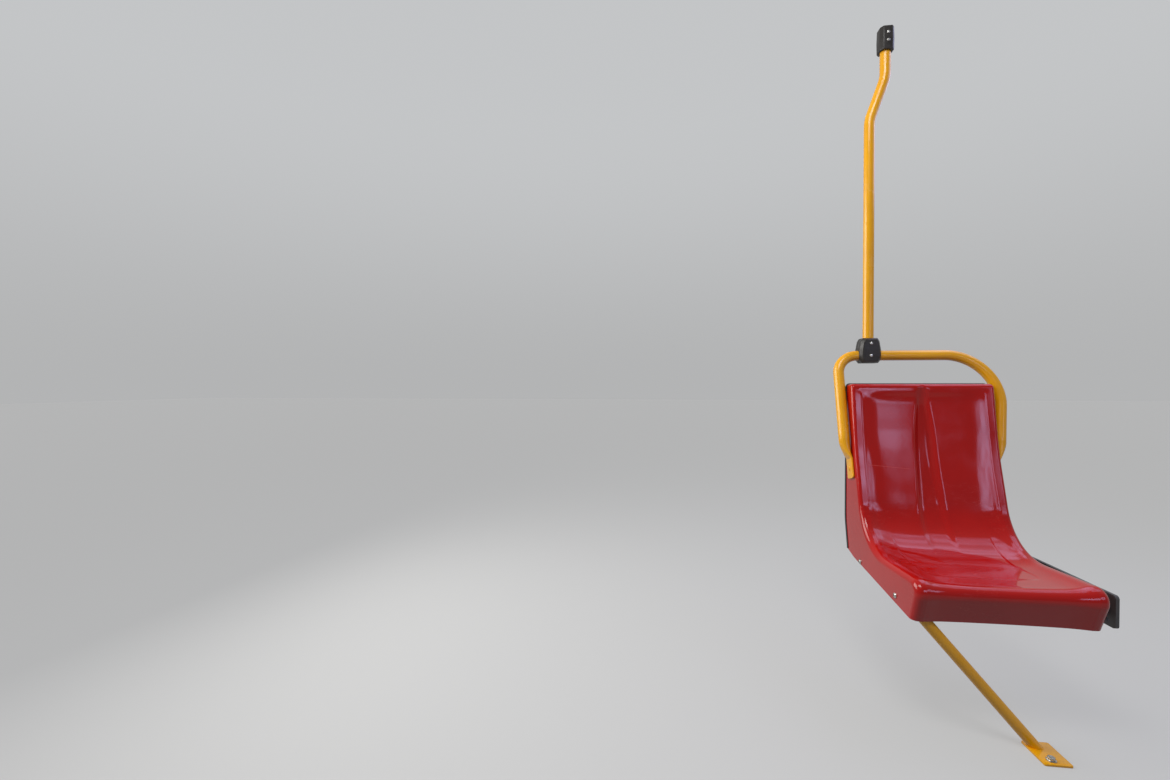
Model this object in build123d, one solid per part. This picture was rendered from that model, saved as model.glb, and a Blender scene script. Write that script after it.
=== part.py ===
from build123d import *
import math
import os

os.makedirs("parts", exist_ok=True)

# Driving sizes in millimetres. Seat coordinates: x across from the middle of the shell, aisle at -x,
# d forward from the rear edge plane, z up from the floor. The seat faces -Y.
shell_width = 430.0
shell_wall = 5.0
shell_top = 900.0
top_depth = 48.0
lip_depth = 510.0
lip_height = 431.0
lip_radius = 26.0
bend_radius = 165.0
skirt_lean = 41.0
skirt_drop = 123.0
edge_roll = 11.0
rim_round = 12.0
trim_lip = 2.0
trim_cover = 9.0

loop_radius = 16.85
loop_rise = 96.0
loop_gap = 2.3
loop_lean = 14.5
loop_bend_aisle = 42.0
loop_bend_wall = 150.0
loop_wall_reach = 45.0
loop_jog = 65.0
flat_drop = 245.0
flat_length = 62.0
flat_width = 47.0
flat_thickness = 6.8
flat_depth = 55.0
flat_setback = 11.0
flat_corner = 8.0
flat_crown = 0.05

pole_radius = 16.85
pole_wall = 2.0
pole_inset = 80.0
pole_offset = 49.0
pole_bend = 110.0
ceiling_height = 2090.0
socket_width = 47.0
socket_depth = 50.0
socket_height = 77.0

clamp_width = 70.0
clamp_height = 84.0
clamp_depth = 60.0
clamp_rise = 16.0
clamp_bevel = 11.0
clamp_split = 0.3
fit_gap = 0.2

rail_thickness = 6.0
rail_height = 22.0
bolt_rear_depth = 133.0
bolt_rear_rise = 44.0
bolt_front_setback = 155.0
bolt_front_rise = 33.0
cross_radius = 15.0
cross_wall = 2.5
cross_rise = 6.0
wall_gap = 30.0
wall_plate_thickness = 8.0
wall_plate_height = 80.0
wall_bolt_radius = 5.5

strut_radius = 13.5
strut_wall = 2.5
strut_setback = 63.0
strut_foot_x = 80.0
strut_head_rise = 24.0
bracket_thickness = 5.0
foot_plate_thickness = 5.0
foot_plate_width = 62.0
foot_bolt_x = 84.0
foot_bolt_reach = 49.0
foot_bolt_margin = 16.0
foot_bolt_radius = 5.5
pad_thickness = 4.0
brace_radius = 10.0
brace_wall = 2.0

# Sizes that follow from those
half_width = shell_width / 2
inner_half = half_width - shell_wall
skirt_foot_depth = lip_depth - skirt_lean
skirt_foot_height = lip_height - skirt_drop
loop_bar_height = shell_top + loop_rise
flat_top = shell_top - flat_drop
flat_foot = flat_top - flat_length
clamp_centre_height = loop_bar_height + clamp_rise
bolt_rear_height = skirt_foot_height + bolt_rear_rise
bolt_front_depth = lip_depth - bolt_front_setback
bolt_front_height = skirt_foot_height + bolt_front_rise
strut_depth = lip_depth - strut_setback
strut_head_height = skirt_foot_height + strut_head_rise
foot_bolt_depth = strut_depth + foot_bolt_reach


# Two-dimensional helpers
def unit(x, y):
    size = math.hypot(x, y)
    return x / size, y / size


def corner_arc(before, corner, after):
    """Start, middle and end of the arc that rounds a corner given as (a, b, radius)."""
    ux, uy = unit(before[0] - corner[0], before[1] - corner[1])
    vx, vy = unit(after[0] - corner[0], after[1] - corner[1])
    half = math.acos(max(-1.0, min(1.0, ux * vx + uy * vy))) / 2
    reach = corner[2] / math.tan(half)
    bx, by = unit(ux + vx, uy + vy)
    far = corner[2] / math.sin(half)
    start = (corner[0] + ux * reach, corner[1] + uy * reach)
    end = (corner[0] + vx * reach, corner[1] + vy * reach)
    middle = (corner[0] + bx * (far - corner[2]), corner[1] + by * (far - corner[2]))
    return start, middle, end


def outline(corners, at):
    """Closed wire of lines and arcs through rounded corners; at() places a 2-D point in space."""
    count = len(corners)
    arcs = []
    for i, corner in enumerate(corners):
        if corner[2] > 0:
            arcs.append(corner_arc(corners[i - 1], corner, corners[(i + 1) % count]))
        else:
            arcs.append((corner[:2], None, corner[:2]))
    edges = []
    for i, (start, middle, end) in enumerate(arcs):
        if middle:
            edges.append(ThreePointArc(at(*start), at(*middle), at(*end)))
        edges.append(Line(at(*end), at(*arcs[(i + 1) % count][0])))
    return Wire(edges)


def moved_in(corners, shifts):
    """Corners of a clockwise outline after each side i (corner i to i+1) moves inwards by shifts[i]."""
    count = len(corners)
    sides = []
    for i in range(count):
        ax, ay = corners[i][:2]
        bx, by = corners[(i + 1) % count][:2]
        dx, dy = unit(bx - ax, by - ay)
        sides.append((ax + dy * shifts[i], ay - dx * shifts[i], dx, dy))
    result = []
    for i in range(count):
        px, py, dx, dy = sides[i - 1]
        qx, qy, ex, ey = sides[i]
        cross = dx * ey - dy * ex
        t = ((qx - px) * ey - (qy - py) * ex) / cross
        radius = corners[i][2]
        if radius > 0:
            shift = (shifts[i - 1] + shifts[i]) / 2
            radius = max(radius - shift if cross < 0 else radius + shift, 0.5)
        result.append((px + dx * t, py + dy * t, radius))
    return result


def side(d, z):
    return Vector(0, -d, z)


# Side outline of the shell, clockwise from the rear top corner: d, z, radius
front_line = [
    (top_depth, shell_top, 14.0),
    (top_depth + 32.0, shell_top - 210.0, 900.0),
    (top_depth + 109.0, lip_height - 16.0, bend_radius),
    (lip_depth, lip_height, lip_radius),
    (skirt_foot_depth, skirt_foot_height, 0.0),
]
rear_line = [
    (80.0, skirt_foot_height + 34.0, 90.0),
    (24.0, skirt_foot_height + 46.0, 0.0),
    (0.0, lip_height + 19.0, 160.0),
]
side_outline = [(0.0, shell_top, 0.0)] + front_line + rear_line


def seat_block(inset, slack):
    """Solid seat form moved in by inset on the seen faces and run out by slack at the open rear and foot."""
    shifts = [inset] * 5 + [-slack] * 4
    corners = moved_in(side_outline, shifts)
    half = half_width - inset
    block = extrude(Face(outline(corners, side)), amount=half, dir=(1, 0, 0), both=True)
    seen = []
    for edge in block.edges():
        mid = edge.position_at(0.5)
        if abs(abs(mid.X) - half) > 0.01 or mid.Y > -2.0:
            continue
        if mid.Z > lip_height - 45 or -mid.Y > skirt_foot_depth - 25:
            seen.append(edge)
    return fillet(seen, edge_roll - inset)


# Path down the front of the seat as straight and round pieces, with the length of each
def path_pieces():
    corners = [(top_depth - 6.5, shell_top + 42.0, 0.0)] + front_line[1:]
    corners[-1] = (skirt_foot_depth - 12.0, skirt_foot_height - 36.0, 0.0)
    pieces = []
    last = corners[0][:2]
    for i in range(1, len(corners) - 1):
        start, _, end = corner_arc(corners[i - 1], corners[i], corners[i + 1])
        pieces.append(("line", last, start))
        pieces.append(("arc", start, end, corners[i][:2], corners[i][2]))
        last = end
    pieces.append(("line", last, corners[-1][:2]))
    return pieces


def station(pieces, travel):
    """Point and direction on the path after a length of travel."""
    for piece in pieces:
        (ax, ay), (bx, by) = piece[1], piece[2]
        if piece[0] == "line":
            size = math.dist(piece[1], piece[2])
            if travel <= size or piece is pieces[-1]:
                dx, dy = unit(bx - ax, by - ay)
                return (ax + dx * travel, ay + dy * travel), (dx, dy)
        else:
            kx, ky = piece[3]
            ux, uy = unit(kx - ax, ky - ay)
            vx, vy = unit(bx - kx, by - ky)
            turn = math.atan2(ux * vy - uy * vx, ux * vx + uy * vy)
            size = abs(turn) * piece[4]
            if travel <= size:
                sign = 1 if turn > 0 else -1
                cx, cy = ax - uy * sign * piece[4], ay + ux * sign * piece[4]
                angle = sign * travel / piece[4]
                c, s = math.cos(angle), math.sin(angle)
                point = (cx + (ax - cx) * c - (ay - cy) * s, cy + (ax - cx) * s + (ay - cy) * c)
                return point, (ux * c - uy * s, ux * s + uy * c)
        travel -= size
    return None


# Dish of the sitting side, by distance from the middle: depth under the seat form on each stretch
dish_rim = half_width - 28.0
dish_rows = [
    # x, upper back, lower back, pan, front skirt
    (0.0, 6.4, 9.4, 14.0, 8.0),
    (dish_rim - 117.0, 6.0, 8.8, 13.0, 7.4),
    (dish_rim - 52.0, 4.8, 6.8, 10.0, 6.0),
    (dish_rim - 22.0, 3.0, 4.0, 5.6, 3.6),
    (dish_rim, 0.0, 0.0, 0.0, 0.0),
    (dish_rim + 18.0, -3.0, -3.4, -4.6, -3.2),
]
dish_top = 20.0
dish_slope = math.radians(12)
dish_turn = 40.0


def dish(grow):
    """Cutter for the dish, lofted across the seat; grow sinks it for the hidden side."""
    bx, bz = unit(front_line[1][0] - front_line[0][0], front_line[1][1] - front_line[0][1])
    c, s = math.cos(-dish_slope), math.sin(-dish_slope)
    sx, sz = bx * c - bz * s, bx * s + bz * c
    cross_d = top_depth + dish_top * bx / -bz
    cross_z = shell_top - dish_top
    foot_d = skirt_foot_depth - 12.0
    foot_z = skirt_foot_height - 36.0
    sections = []
    for x, upper, lower, pan, skirt in [(-r[0],) + r[1:] for r in reversed(dish_rows[1:])] + dish_rows:
        stretches = [
            # start, end, depth
            ((cross_d - sx * 40, cross_z - sz * 40), (cross_d, cross_z), grow),
            (front_line[0][:2], front_line[1][:2], upper + grow),
            (front_line[1][:2], front_line[2][:2], lower + grow),
            (front_line[2][:2], front_line[3][:2], pan + grow),
            (front_line[3][:2], (foot_d, foot_z), skirt + grow),
        ]
        lines = []
        for (ax, az), (ex, ez), depth in stretches:
            dx, dz = unit(ex - ax, ez - az)
            lines.append((ax + dz * depth, az - dx * depth, dx, dz))
        corners = []
        for first, second, radius in zip(lines, lines[1:], (dish_turn, 0, 0, 0)):
            px, pz, dx, dz = first
            qx, qz, ex, ez = second
            t = ((qx - px) * ez - (qz - pz) * ex) / (dx * ez - dz * ex)
            corners.append((px + dx * t, pz + dz * t, radius))
        corners[1] = corners[1][:2] + (front_line[1][2] + upper + grow,)
        corners[2] = corners[2][:2] + (bend_radius + lower + grow,)
        corners[3] = corners[3][:2] + (lip_radius - grow - (pan + skirt) / 2,)
        start = (lines[0][0], lines[0][1], 0.0)
        end = (lines[4][0] + lines[4][2] * 170, lines[4][1] + lines[4][3] * 170, 0.0)
        far = lip_depth + 60.0
        ring = [(far, start[1] - 60.0, 0.0), start] + corners + [end, (far, end[1], 0.0)]

        def at(d, z, x=x):
            return Vector(x, -d, z)

        sections.append(Face(outline(ring, at)))
    return loft(sections)


# Channel down the middle of the back
channel_rows = [
    # travel, floor half width, floor level, sideways run of the flank for each unit of rise
    (44.0, 4.0, 4.0, 1.5),
    (62.0, 5.0, -1.4, 1.4),
    (82.0, 7.0, -6.6, 1.25),
    (108.0, 9.0, -13.4, 1.1),
    (155.0, 11.5, -18.8, 1.0),
    (215.0, 14.0, -22.2, 0.95),
    (280.0, 16.5, -23.6, 0.95),
    (345.0, 20.5, -21.8, 1.05),
    (405.0, 25.0, -17.8, 1.25),
    (460.0, 28.5, -15.2, 1.6),
    (515.0, 31.0, -13.6, 1.9),
    (565.0, 32.0, -10.0, 2.0),
]
path = path_pieces()


def channel(grow):
    """Cutter for the channel; grow sinks and widens it for the hidden side."""
    sections = []
    for travel, floor, level, run in channel_rows:
        (pd, pz), (td, tz) = station(path, travel)
        nd, nz = -tz, td
        low = level - grow
        wide = floor + grow * 0.4
        high = 24.0
        corners = [
            (-wide - (high - low) * run, high, 0.0),
            (-wide, low, 0.0),
            (wide, low, 0.0),
            (wide + (high - low) * run, high, 0.0),
        ]

        def at(x, n, pd=pd, pz=pz, nd=nd, nz=nz):
            return Vector(x, -(pd + nd * n), pz + nz * n)

        sections.append(Face(outline(corners, at)))
    return loft(sections)


def rim_edges(form):
    """Edges along the rim of the dish, down the front of the seat."""
    found = []
    for edge in form.edges():
        mid = edge.position_at(0.5)
        one_side = edge.position_at(0).X * edge.position_at(1).X > 0
        if one_side and abs(abs(mid.X) - dish_rim) < 1.0 and mid.Y < -edge_roll and edge.length > 3.0:
            found.append(edge)
    return found


print("shell")
outer_form = seat_block(0.0, 0.0) - dish(0.0) - channel(0.0)
outer_form = fillet(rim_edges(outer_form), rim_round)
hollow_form = seat_block(shell_wall, 25.0) - dish(shell_wall) - channel(shell_wall)
shell = outer_form - hollow_form


# Frame heights follow the two skirt bolts
rail_slope = (bolt_front_height - bolt_rear_height) / (bolt_front_depth - bolt_rear_depth)


def rail_z(d):
    return bolt_rear_height + rail_slope * (d - bolt_rear_depth)


rear_cross_depth = bolt_rear_depth + 17.0
front_cross_depth = strut_depth - strut_radius - cross_radius - 3.5
cross_depths = {"rear": rear_cross_depth, "front": front_cross_depth}
rail_start = bolt_rear_depth - 20.0
rail_end = strut_depth + 16.0
rail_inner = inner_half - rail_thickness
wall_face = half_width + wall_gap

for depth in cross_depths.values():
    notch_top = rail_z(depth) + cross_rise + cross_radius + 2.0
    notch = Box(20, 2 * cross_radius + 4, 160, align=(Align.CENTER, Align.CENTER, Align.MAX))
    shell -= Pos(half_width, -depth, notch_top) * notch

print("edge trim")
reach = trim_lip
trim_rear = rear_line[2][1]
trim_foot = rear_line[1]
trim_leg = [
    (-reach, shell_top + reach, 0.0),
    (trim_cover, shell_top + reach, 0.0),
    (trim_cover, trim_rear, 150.0),
    (trim_foot[0] + trim_cover, trim_foot[1] + 1.0, 0.0),
    (trim_foot[0] - reach, trim_foot[1] - 1.0, 0.0),
    (-reach, trim_rear, 160.0),
]
trim_width = shell_wall + 2 * reach
trim_body = Pos(0, (reach - trim_cover) / 2, shell_top + reach) * Box(
    2 * (half_width + reach), trim_cover + reach, trim_width, align=(Align.CENTER, Align.CENTER, Align.MAX)
)
for start in (-half_width - reach, inner_half - reach):
    trim_body += Pos(start, 0, 0) * extrude(Face(outline(trim_leg, side)), amount=trim_width, dir=(1, 0, 0))
outer_corners = []
inner_corners = []
for edge in trim_body.edges().filter_by(Axis.Y):
    mid = edge.position_at(0.5)
    if mid.Z > shell_top + reach - 0.01 and abs(mid.X) > half_width:
        outer_corners.append(edge)
    elif abs(mid.Z - (shell_top - shell_wall - reach)) < 0.01:
        inner_corners.append(edge)
trim_body = fillet(outer_corners, edge_roll + reach)
inner_corners = [
    edge
    for edge in trim_body.edges().filter_by(Axis.Y)
    if abs(edge.position_at(0.5).Z - (shell_top - shell_wall - reach)) < 0.01
    and abs(abs(edge.position_at(0.5).X) - inner_half + reach) < 0.01
]
trim_body = fillet(inner_corners, edge_roll - shell_wall - reach)
trim = trim_body - outer_form + (trim_body & hollow_form)

print("grab loop")
lean = math.radians(loop_lean)
flat_middle = (flat_top + flat_foot) / 2
jog_top = flat_top + loop_jog
leg_x = half_width + loop_gap + loop_radius
flat_x = half_width + fit_gap + flat_thickness / 2


def loop_depth(z):
    return flat_depth + flat_setback / math.cos(lean) - (z - flat_middle) * math.tan(lean)


def on_loop(x, z):
    return Vector(x, -loop_depth(z), z)


def on_flat(x, z):
    """The flats sit a little behind the line of the tube."""
    return on_loop(x, z) + Vector(0, flat_setback / math.cos(lean), 0)


loop_up = Vector(0, math.sin(lean), math.cos(lean))
loop_across = Vector(0, -math.cos(lean), math.sin(lean))
wall_corner_x = leg_x + loop_wall_reach
loop_corners = [
    (-leg_x, jog_top, 0.0),
    (-leg_x, loop_bar_height, loop_bend_aisle),
    (wall_corner_x, loop_bar_height, loop_bend_wall),
    (leg_x, jog_top, 0.0),
]


def loop_section(plane, squash):
    """Tube section of four arcs, round at squash 0 and pressed flat at squash 1."""
    round_share = loop_radius * math.sqrt(0.5)
    flat_half = flat_thickness / 2
    half_wide = loop_radius + (flat_width / 2 - loop_radius) * squash
    half_thick = loop_radius + (flat_half - loop_radius) * squash
    u = round_share + (flat_width / 2 - flat_half - round_share) * squash
    v = round_share + (flat_half - flat_crown - round_share) * squash
    turns = [
        # start, middle
        ((u, -v), (half_wide, 0)),
        ((u, v), (0, half_thick)),
        ((-u, v), (-half_wide, 0)),
        ((-u, -v), (0, -half_thick)),
    ]
    edges = []
    for i, (start, middle) in enumerate(turns):
        end = turns[(i + 1) % 4][0]
        edges.append(ThreePointArc(*[plane.from_local_coords(Vector(*point, 0)) for point in (start, middle, end)]))
    return Face(Wire(edges))


bar_pieces = []
last = loop_corners[0][:2]
for i in (1, 2):
    start, middle, end = corner_arc(*loop_corners[i - 1 : i + 2])
    bar_pieces.append(Line(on_loop(*last), on_loop(*start)))
    bar_pieces.append(ThreePointArc(on_loop(*start), on_loop(*middle), on_loop(*end)))
    last = end
bar_pieces.append(Line(on_loop(*last), on_loop(*loop_corners[3][:2])))
bar_path = Wire(bar_pieces)
bar_start = Plane(origin=bar_path.position_at(0), x_dir=loop_across, z_dir=bar_path.tangent_at(0))
bar_section = loop_section(bar_start, 0.0)
loop = sweep(bar_section, path=bar_path)
far_section = loop.faces().filter_by(GeomType.PLANE).sort_by_distance(bar_path.position_at(1))[0]
tab_length = flat_length / math.cos(lean)
for sign, bar_end, here, way in (
    (-1, bar_section, bar_path.position_at(0), bar_path.tangent_at(0)),
    (1, far_section, bar_path.position_at(1), bar_path.tangent_at(1) * -1),
):
    flat_start = on_flat(sign * flat_x, flat_top)
    sections = []
    for share in (1.0, 0.72, 0.28):
        squash = share**1.9
        centre = here + (flat_start - here) * share
        centre = Vector(here.X + (flat_start.X - here.X) * squash, centre.Y, centre.Z)
        plane = Plane(origin=centre, x_dir=loop_across, z_dir=way * (1 - share) + loop_up * share)
        sections.append(loop_section(plane, squash))
    loop += loft(sections + [bar_end])
    tab_plane = Plane(origin=on_flat(sign * flat_x, flat_middle), x_dir=loop_across, z_dir=(1, 0, 0))
    tab_edge = RectangleRounded(flat_width + 0.02, tab_length, flat_corner)
    tab_edge += Pos(0, tab_length / 4) * Rectangle(flat_width + 0.02, tab_length / 2)
    tab = extrude(sections[0], amount=tab_length, dir=loop_up * -1)
    loop += tab & tab_plane * extrude(tab_edge, amount=flat_thickness, both=True)

print("clamp")
pole_x = -half_width + pole_inset
bar_depth = loop_depth(loop_bar_height)
clamp_shape = [
    # x share of the half width, z share of the half height
    (0.66, 1.0),
    (0.84, 0.74),
    (0.97, 0.12),
    (1.0, -0.38),
    (0.92, -0.78),
    (0.72, -1.0),
]


def clamp_face(y, share):
    half, tall = clamp_width / 2 * share, clamp_height / 2 * share
    right = [(x * half, z * tall) for x, z in clamp_shape]
    left = [(-x, z) for x, z in reversed(right)]
    points = [Vector(pole_x + x, y, clamp_centre_height + z) for x, z in right + left]
    return Face(Wire.make_polygon(points, close=True))


clamp_bores = Pos(pole_x, -bar_depth, loop_bar_height) * Rot(0, 90, 0) * Cylinder(
    loop_radius + fit_gap, 200
) + Pos(pole_x, -bar_depth, loop_bar_height + 8) * Cylinder(
    pole_radius + fit_gap, 200, align=(Align.CENTER, Align.CENTER, Align.MIN)
)
clamp_halves = {}
for name, way in (("front", -1), ("rear", 1)):
    near = -bar_depth + way * clamp_split
    middle = -bar_depth + way * (clamp_depth / 2 - clamp_bevel)
    far = -bar_depth + way * clamp_depth / 2
    body = loft([clamp_face(near, 1.0), clamp_face(middle, 1.0)], ruled=True)
    body += loft([clamp_face(middle, 1.0), clamp_face(far, 0.74)], ruled=True)
    clamp_halves[name] = body - clamp_bores

print("stanchion")
socket_straight = 160.0
socket_floor = 8.0
jog_height = 142.0
pole_foot = loop_bar_height + loop_radius + 3.0
pole_jog = ceiling_height - socket_straight - jog_height
pole_end = ceiling_height - socket_floor
pole_line = [
    (pole_x, pole_foot, 0.0),
    (pole_x, pole_jog, pole_bend),
    (pole_x + pole_offset, pole_jog + jog_height, pole_bend),
    (pole_x + pole_offset, pole_end, 0.0),
]
pole_pieces = []
last = pole_line[0][:2]
for i in (1, 2):
    start, middle, end = corner_arc(*pole_line[i - 1 : i + 2])
    pole_pieces.append(Line(*[Vector(x, -bar_depth, z) for x, z in (last, start)]))
    pole_pieces.append(ThreePointArc(*[Vector(x, -bar_depth, z) for x, z in (start, middle, end)]))
    last = end
pole_pieces.append(Line(*[Vector(x, -bar_depth, z) for x, z in (last, pole_line[3][:2])]))
pole_path = Wire(pole_pieces)
pole_section = Circle(pole_radius) - Circle(pole_radius - pole_wall)
pole = sweep(Plane(origin=pole_path.position_at(0)) * pole_section, path=pole_path)

socket_at = Pos(pole_x + pole_offset, -bar_depth, ceiling_height)
socket = extrude(RectangleRounded(socket_width, socket_depth, 7.0), -socket_height)
socket = chamfer(socket.faces().sort_by(Axis.Z)[0].edges(), 2.0)
socket -= Pos(0, 0, -socket_floor) * Cylinder(
    pole_radius + fit_gap, 2 * socket_height, align=(Align.CENTER, Align.CENTER, Align.MAX)
)
socket = socket_at * socket

print("frame")
rails = {}
for name, sign, rise in (("aisle", -1, 0.0), ("wall", 1, 22.0)):
    corners = [
        (rail_start, rail_z(rail_start) - rail_height / 2, 3.0),
        (rail_start, rail_z(rail_start) + rail_height / 2 + rise, 3.0),
        (rail_end, rail_z(rail_end) + rail_height / 2 + rise, 3.0),
        (rail_end, rail_z(rail_end) - rail_height / 2, 3.0),
    ]
    rail = extrude(Face(outline(corners, side)), amount=rail_thickness, dir=(1, 0, 0))
    rails[name] = Pos(-inner_half if sign < 0 else rail_inner, 0, 0) * rail
cross_tubes = {}
for name, depth in cross_depths.items():
    height = rail_z(depth) + cross_rise
    length = wall_face + rail_inner
    tube = Cylinder(cross_radius, length) - Cylinder(cross_radius - cross_wall, length)
    at = Pos((wall_face - rail_inner) / 2, -depth, height) * Rot(0, 90, 0)
    cross_tubes[name] = at * tube
    rails["wall"] -= at * Cylinder(cross_radius + fit_gap, length)

plate_middle = (rear_cross_depth + front_cross_depth) / 2
plate_length = front_cross_depth - rear_cross_depth + 90.0
plate_height = rail_z(plate_middle) + cross_rise
wall_bolt_span = plate_length - 50.0
wall_bolt_rise = wall_plate_height - 30.0
wall_plate = extrude(RectangleRounded(plate_length, wall_plate_height, 8.0), wall_plate_thickness)
for u in (-1, 1):
    for v in (-1, 1):
        hole = Cylinder(wall_bolt_radius, 40)
        wall_plate -= Pos(u * wall_bolt_span / 2, v * wall_bolt_rise / 2, 0) * hole
wall_plate = Plane(origin=(wall_face, -plate_middle, plate_height), x_dir=(0, 1, 0), z_dir=(1, 0, 0)) * wall_plate

print("strut")
bracket_x = -rail_inner + bracket_thickness
foot = Vector(strut_foot_x, -strut_depth, foot_plate_thickness)
head = Vector(bracket_x, -strut_depth, strut_head_height)
strut_axis = head - foot
strut_long = strut_axis.length + 80
strut_plane = Plane(origin=(foot + head) * 0.5, x_dir=(0, 1, 0), z_dir=strut_axis)
strut = strut_plane * (Cylinder(strut_radius, strut_long) - Cylinder(strut_radius - strut_wall, strut_long))
strut &= Pos(bracket_x, -strut_depth, foot_plate_thickness) * Box(
    shell_width, 4 * strut_radius, strut_long, align=(Align.MIN, Align.CENTER, Align.MIN)
)
bracket_half = strut_radius / math.cos(math.atan2(head.Z - foot.Z, foot.X - head.X))
bracket = Pos(-rail_inner, -strut_depth, strut_head_height) * Box(
    bracket_thickness, 2 * strut_radius + 4, 2 * bracket_half + 1, align=(Align.MIN, Align.CENTER, Align.CENTER)
)
foot_middle_x = strut_foot_x + 11.0
foot_front = foot_bolt_depth + foot_bolt_margin
foot_length = foot_front - (strut_depth - strut_radius - 6.0)
foot_plate = extrude(RectangleRounded(foot_plate_width, foot_length, 4.0), foot_plate_thickness)
foot_plate = Pos(foot_middle_x, -foot_front + foot_length / 2, 0) * foot_plate
foot_plate -= Pos(foot_bolt_x, -foot_bolt_depth, 0) * Cylinder(foot_bolt_radius, 40)

print("back brace")
brace_half = inner_half - pad_thickness
pads = {}
for name, x in (("aisle", -inner_half + pad_thickness / 2), ("wall", inner_half - pad_thickness / 2)):
    pads[name] = Pos(x, -flat_depth + 4, flat_middle) * Box(pad_thickness, 46, 56)
brace = Pos(0, -flat_depth + 10, flat_middle) * Rot(0, 90, 0) * (
    Cylinder(brace_radius, 2 * brace_half) - Cylinder(brace_radius - brace_wall, 2 * brace_half)
)

# Shared frame: the origin is the foot bolt at floor level
place = Pos(-foot_bolt_x, foot_bolt_depth, 0)
parts = {
    "seat_shell": shell,
    "edge_trim": trim,
    "grab_loop": loop,
    "clamp_front": clamp_halves["front"],
    "clamp_rear": clamp_halves["rear"],
    "stanchion": pole,
    "ceiling_socket": socket,
    "rail_aisle": rails["aisle"],
    "rail_wall": rails["wall"],
    "cross_tube_rear": cross_tubes["rear"],
    "cross_tube_front": cross_tubes["front"],
    "wall_plate": wall_plate,
    "strut": strut,
    "strut_bracket": bracket,
    "foot_plate": foot_plate,
    "pad_aisle": pads["aisle"],
    "pad_wall": pads["wall"],
    "back_brace": brace,
}
for name, shape in parts.items():
    export_step(place * shape, f"parts/{name}.step")
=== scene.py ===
import bpy
import bmesh
import math
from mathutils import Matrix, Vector


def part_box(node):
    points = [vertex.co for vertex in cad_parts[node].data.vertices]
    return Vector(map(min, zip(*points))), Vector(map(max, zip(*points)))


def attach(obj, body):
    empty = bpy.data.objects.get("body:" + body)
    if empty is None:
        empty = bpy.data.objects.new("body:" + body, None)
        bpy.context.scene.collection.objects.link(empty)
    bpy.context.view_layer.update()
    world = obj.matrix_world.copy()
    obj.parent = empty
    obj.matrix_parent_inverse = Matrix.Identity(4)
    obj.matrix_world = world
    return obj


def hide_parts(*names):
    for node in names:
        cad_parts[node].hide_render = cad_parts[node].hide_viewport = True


print("frame")
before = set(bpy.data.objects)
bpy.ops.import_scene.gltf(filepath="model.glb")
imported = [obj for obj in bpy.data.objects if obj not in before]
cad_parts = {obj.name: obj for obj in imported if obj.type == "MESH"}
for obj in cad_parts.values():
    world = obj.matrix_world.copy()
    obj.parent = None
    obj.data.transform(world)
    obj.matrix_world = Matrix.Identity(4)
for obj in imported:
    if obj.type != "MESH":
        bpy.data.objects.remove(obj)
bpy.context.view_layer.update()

shellLow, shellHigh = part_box("seat_shell")
shellMiddle = (shellLow.x + shellHigh.x) / 2
rearPlane = shellHigh.y
quarterTurn = math.pi / 2


def seatPoint(across, depth, height):  # across from the shell's middle, depth forward of its rear edge
    return Vector((shellMiddle + across, rearPlane - depth, height))


def unit(x, y):
    size = math.hypot(x, y)
    return x / size, y / size


def smoothStep(t):
    t = min(max(t, 0.0), 1.0)
    return t * t * (3 - 2 * t)


def softMax(a, b, width):
    h = max(width - abs(a - b), 0.0) / width
    return max(a, b) + h * h * width / 4


def softMin(a, b, width):
    return -softMax(-a, -b, width)


def tableValue(rows, at, column):  # smooth curve through the rows of a table whose first column is the place
    if at <= rows[0][0]:
        return rows[0][column]
    if at >= rows[-1][0]:
        return rows[-1][column]
    last = len(rows) - 1
    i = max(k for k in range(last) if rows[k][0] <= at)
    x0, x1 = rows[i][0], rows[i + 1][0]

    def slope(k):
        lo, hi = max(k - 1, 0), min(k + 1, last)
        return (rows[hi][column] - rows[lo][column]) / (rows[hi][0] - rows[lo][0])

    t, span = (at - x0) / (x1 - x0), x1 - x0
    a, b = rows[i][column], rows[i + 1][column]
    h = 3 * t * t - 2 * t ** 3
    rise = (t ** 3 - 2 * t * t + t) * span * slope(i) + (t ** 3 - t * t) * span * slope(i + 1)
    return a + (b - a) * h + rise


def roundedPath(corners, step, turnStep):  # points, directions and travel along straight and round stretches
    points = [corners[0][:2]]
    ways = []
    for i in range(1, len(corners)):
        here, after = corners[i], corners[i + 1] if i + 1 < len(corners) else None
        before = corners[i - 1][:2]
        ux, uy = unit(here[0] - before[0], here[1] - before[1])
        start = points[-1]
        if after is None or here[2] == 0:
            end, arc = here[:2], []
        else:
            vx, vy = unit(after[0] - here[0], after[1] - here[1])
            turn = math.atan2(ux * vy - uy * vx, ux * vx + uy * vy)
            reach = here[2] * math.tan(abs(turn) / 2)
            end = (here[0] - ux * reach, here[1] - uy * reach)
            sign = 1 if turn > 0 else -1
            cx, cy = end[0] - uy * sign * here[2], end[1] + ux * sign * here[2]
            cells = max(3, math.ceil(abs(turn) / turnStep))
            arc = []
            for k in range(1, cells + 1):
                c, s = math.cos(turn * k / cells), math.sin(turn * k / cells)
                px, py = end[0] - cx, end[1] - cy
                arc.append(((cx + px * c - py * s, cy + px * s + py * c), (ux * c - uy * s, ux * s + uy * c)))
        cells = max(1, math.ceil(math.dist(start, end) / step))
        dx, dy = end[0] - start[0], end[1] - start[1]
        if not ways:
            ways.append((ux, uy))
        for k in range(1, cells + 1):
            points.append((start[0] + dx * k / cells, start[1] + dy * k / cells))
            ways.append((ux, uy))
        for point, way in arc:
            points.append(point)
            ways.append(way)
    travel = [0.0]
    for a, b in zip(points, points[1:]):
        travel.append(travel[-1] + math.dist(a, b))
    return points, ways, travel


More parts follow.
